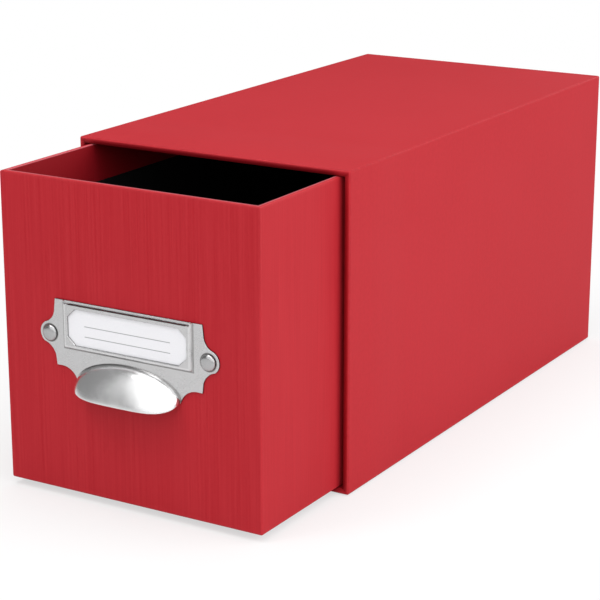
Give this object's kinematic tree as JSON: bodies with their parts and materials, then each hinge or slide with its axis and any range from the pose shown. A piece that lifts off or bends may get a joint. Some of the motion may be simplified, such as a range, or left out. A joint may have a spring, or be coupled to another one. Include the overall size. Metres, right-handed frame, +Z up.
{
  "type": "drawer box",
  "caption": "Paper-covered board box with an open-fronted sleeve and a sliding drawer, with a stamped metal label holder and cup pull on the drawer's front.",
  "frame": {"origin": "centre of the sleeve's underside, where it rests", "axes": "+X to the right seen from the front, +Y from the front to the back, +Z up; the drawer pulls out along -Y"},
  "size_m": [0.1606, 0.3898, 0.166],
  "materials": {
    "red_paper": "matt red paper embossed with a fine linen grain",
    "black_paper": "matt black lining paper",
    "grey_board": "bare grey board, hidden under the papers",
    "nickel_plate": "satin nickel plate with a polished cup",
    "rivet_metal": "bright nickel",
    "white_card": "smooth white card"
  },
  "bodies": {
    "sleeve": {"sleeve_top_board": "grey_board", "sleeve_bottom_board": "grey_board", "sleeve_left_board": "grey_board", "sleeve_right_board": "grey_board", "sleeve_back_board": "grey_board", "sleeve_cover_paper": "red_paper", "sleeve_back_sheet": "red_paper", "sleeve_base_sheet": "red_paper", "sleeve_lining_paper": "black_paper"},
    "drawer": {"drawer_front_board": "grey_board", "drawer_back_board": "grey_board", "drawer_left_board": "grey_board", "drawer_right_board": "grey_board", "drawer_bottom_board": "grey_board", "drawer_cover_paper": "red_paper", "drawer_base_sheet": "red_paper", "drawer_lining_paper": "black_paper", "label_pull": "nickel_plate", "rivet_left": "rivet_metal", "rivet_right": "rivet_metal", "rivet_washer_left": "rivet_metal", "rivet_washer_right": "rivet_metal"},
    "card": {"label_card": "white_card"}
  },
  "joints": [
    {"name": "drawer_slide", "type": "slide", "parent": "sleeve", "child": "drawer", "axis": [0, -1, 0], "range_m": [-0.072, 0.23]},
    {"name": "card_slide", "type": "slide", "parent": "drawer", "child": "card", "axis": [0, 0, 1], "range_m": [0, 0.0235]}
  ]
}
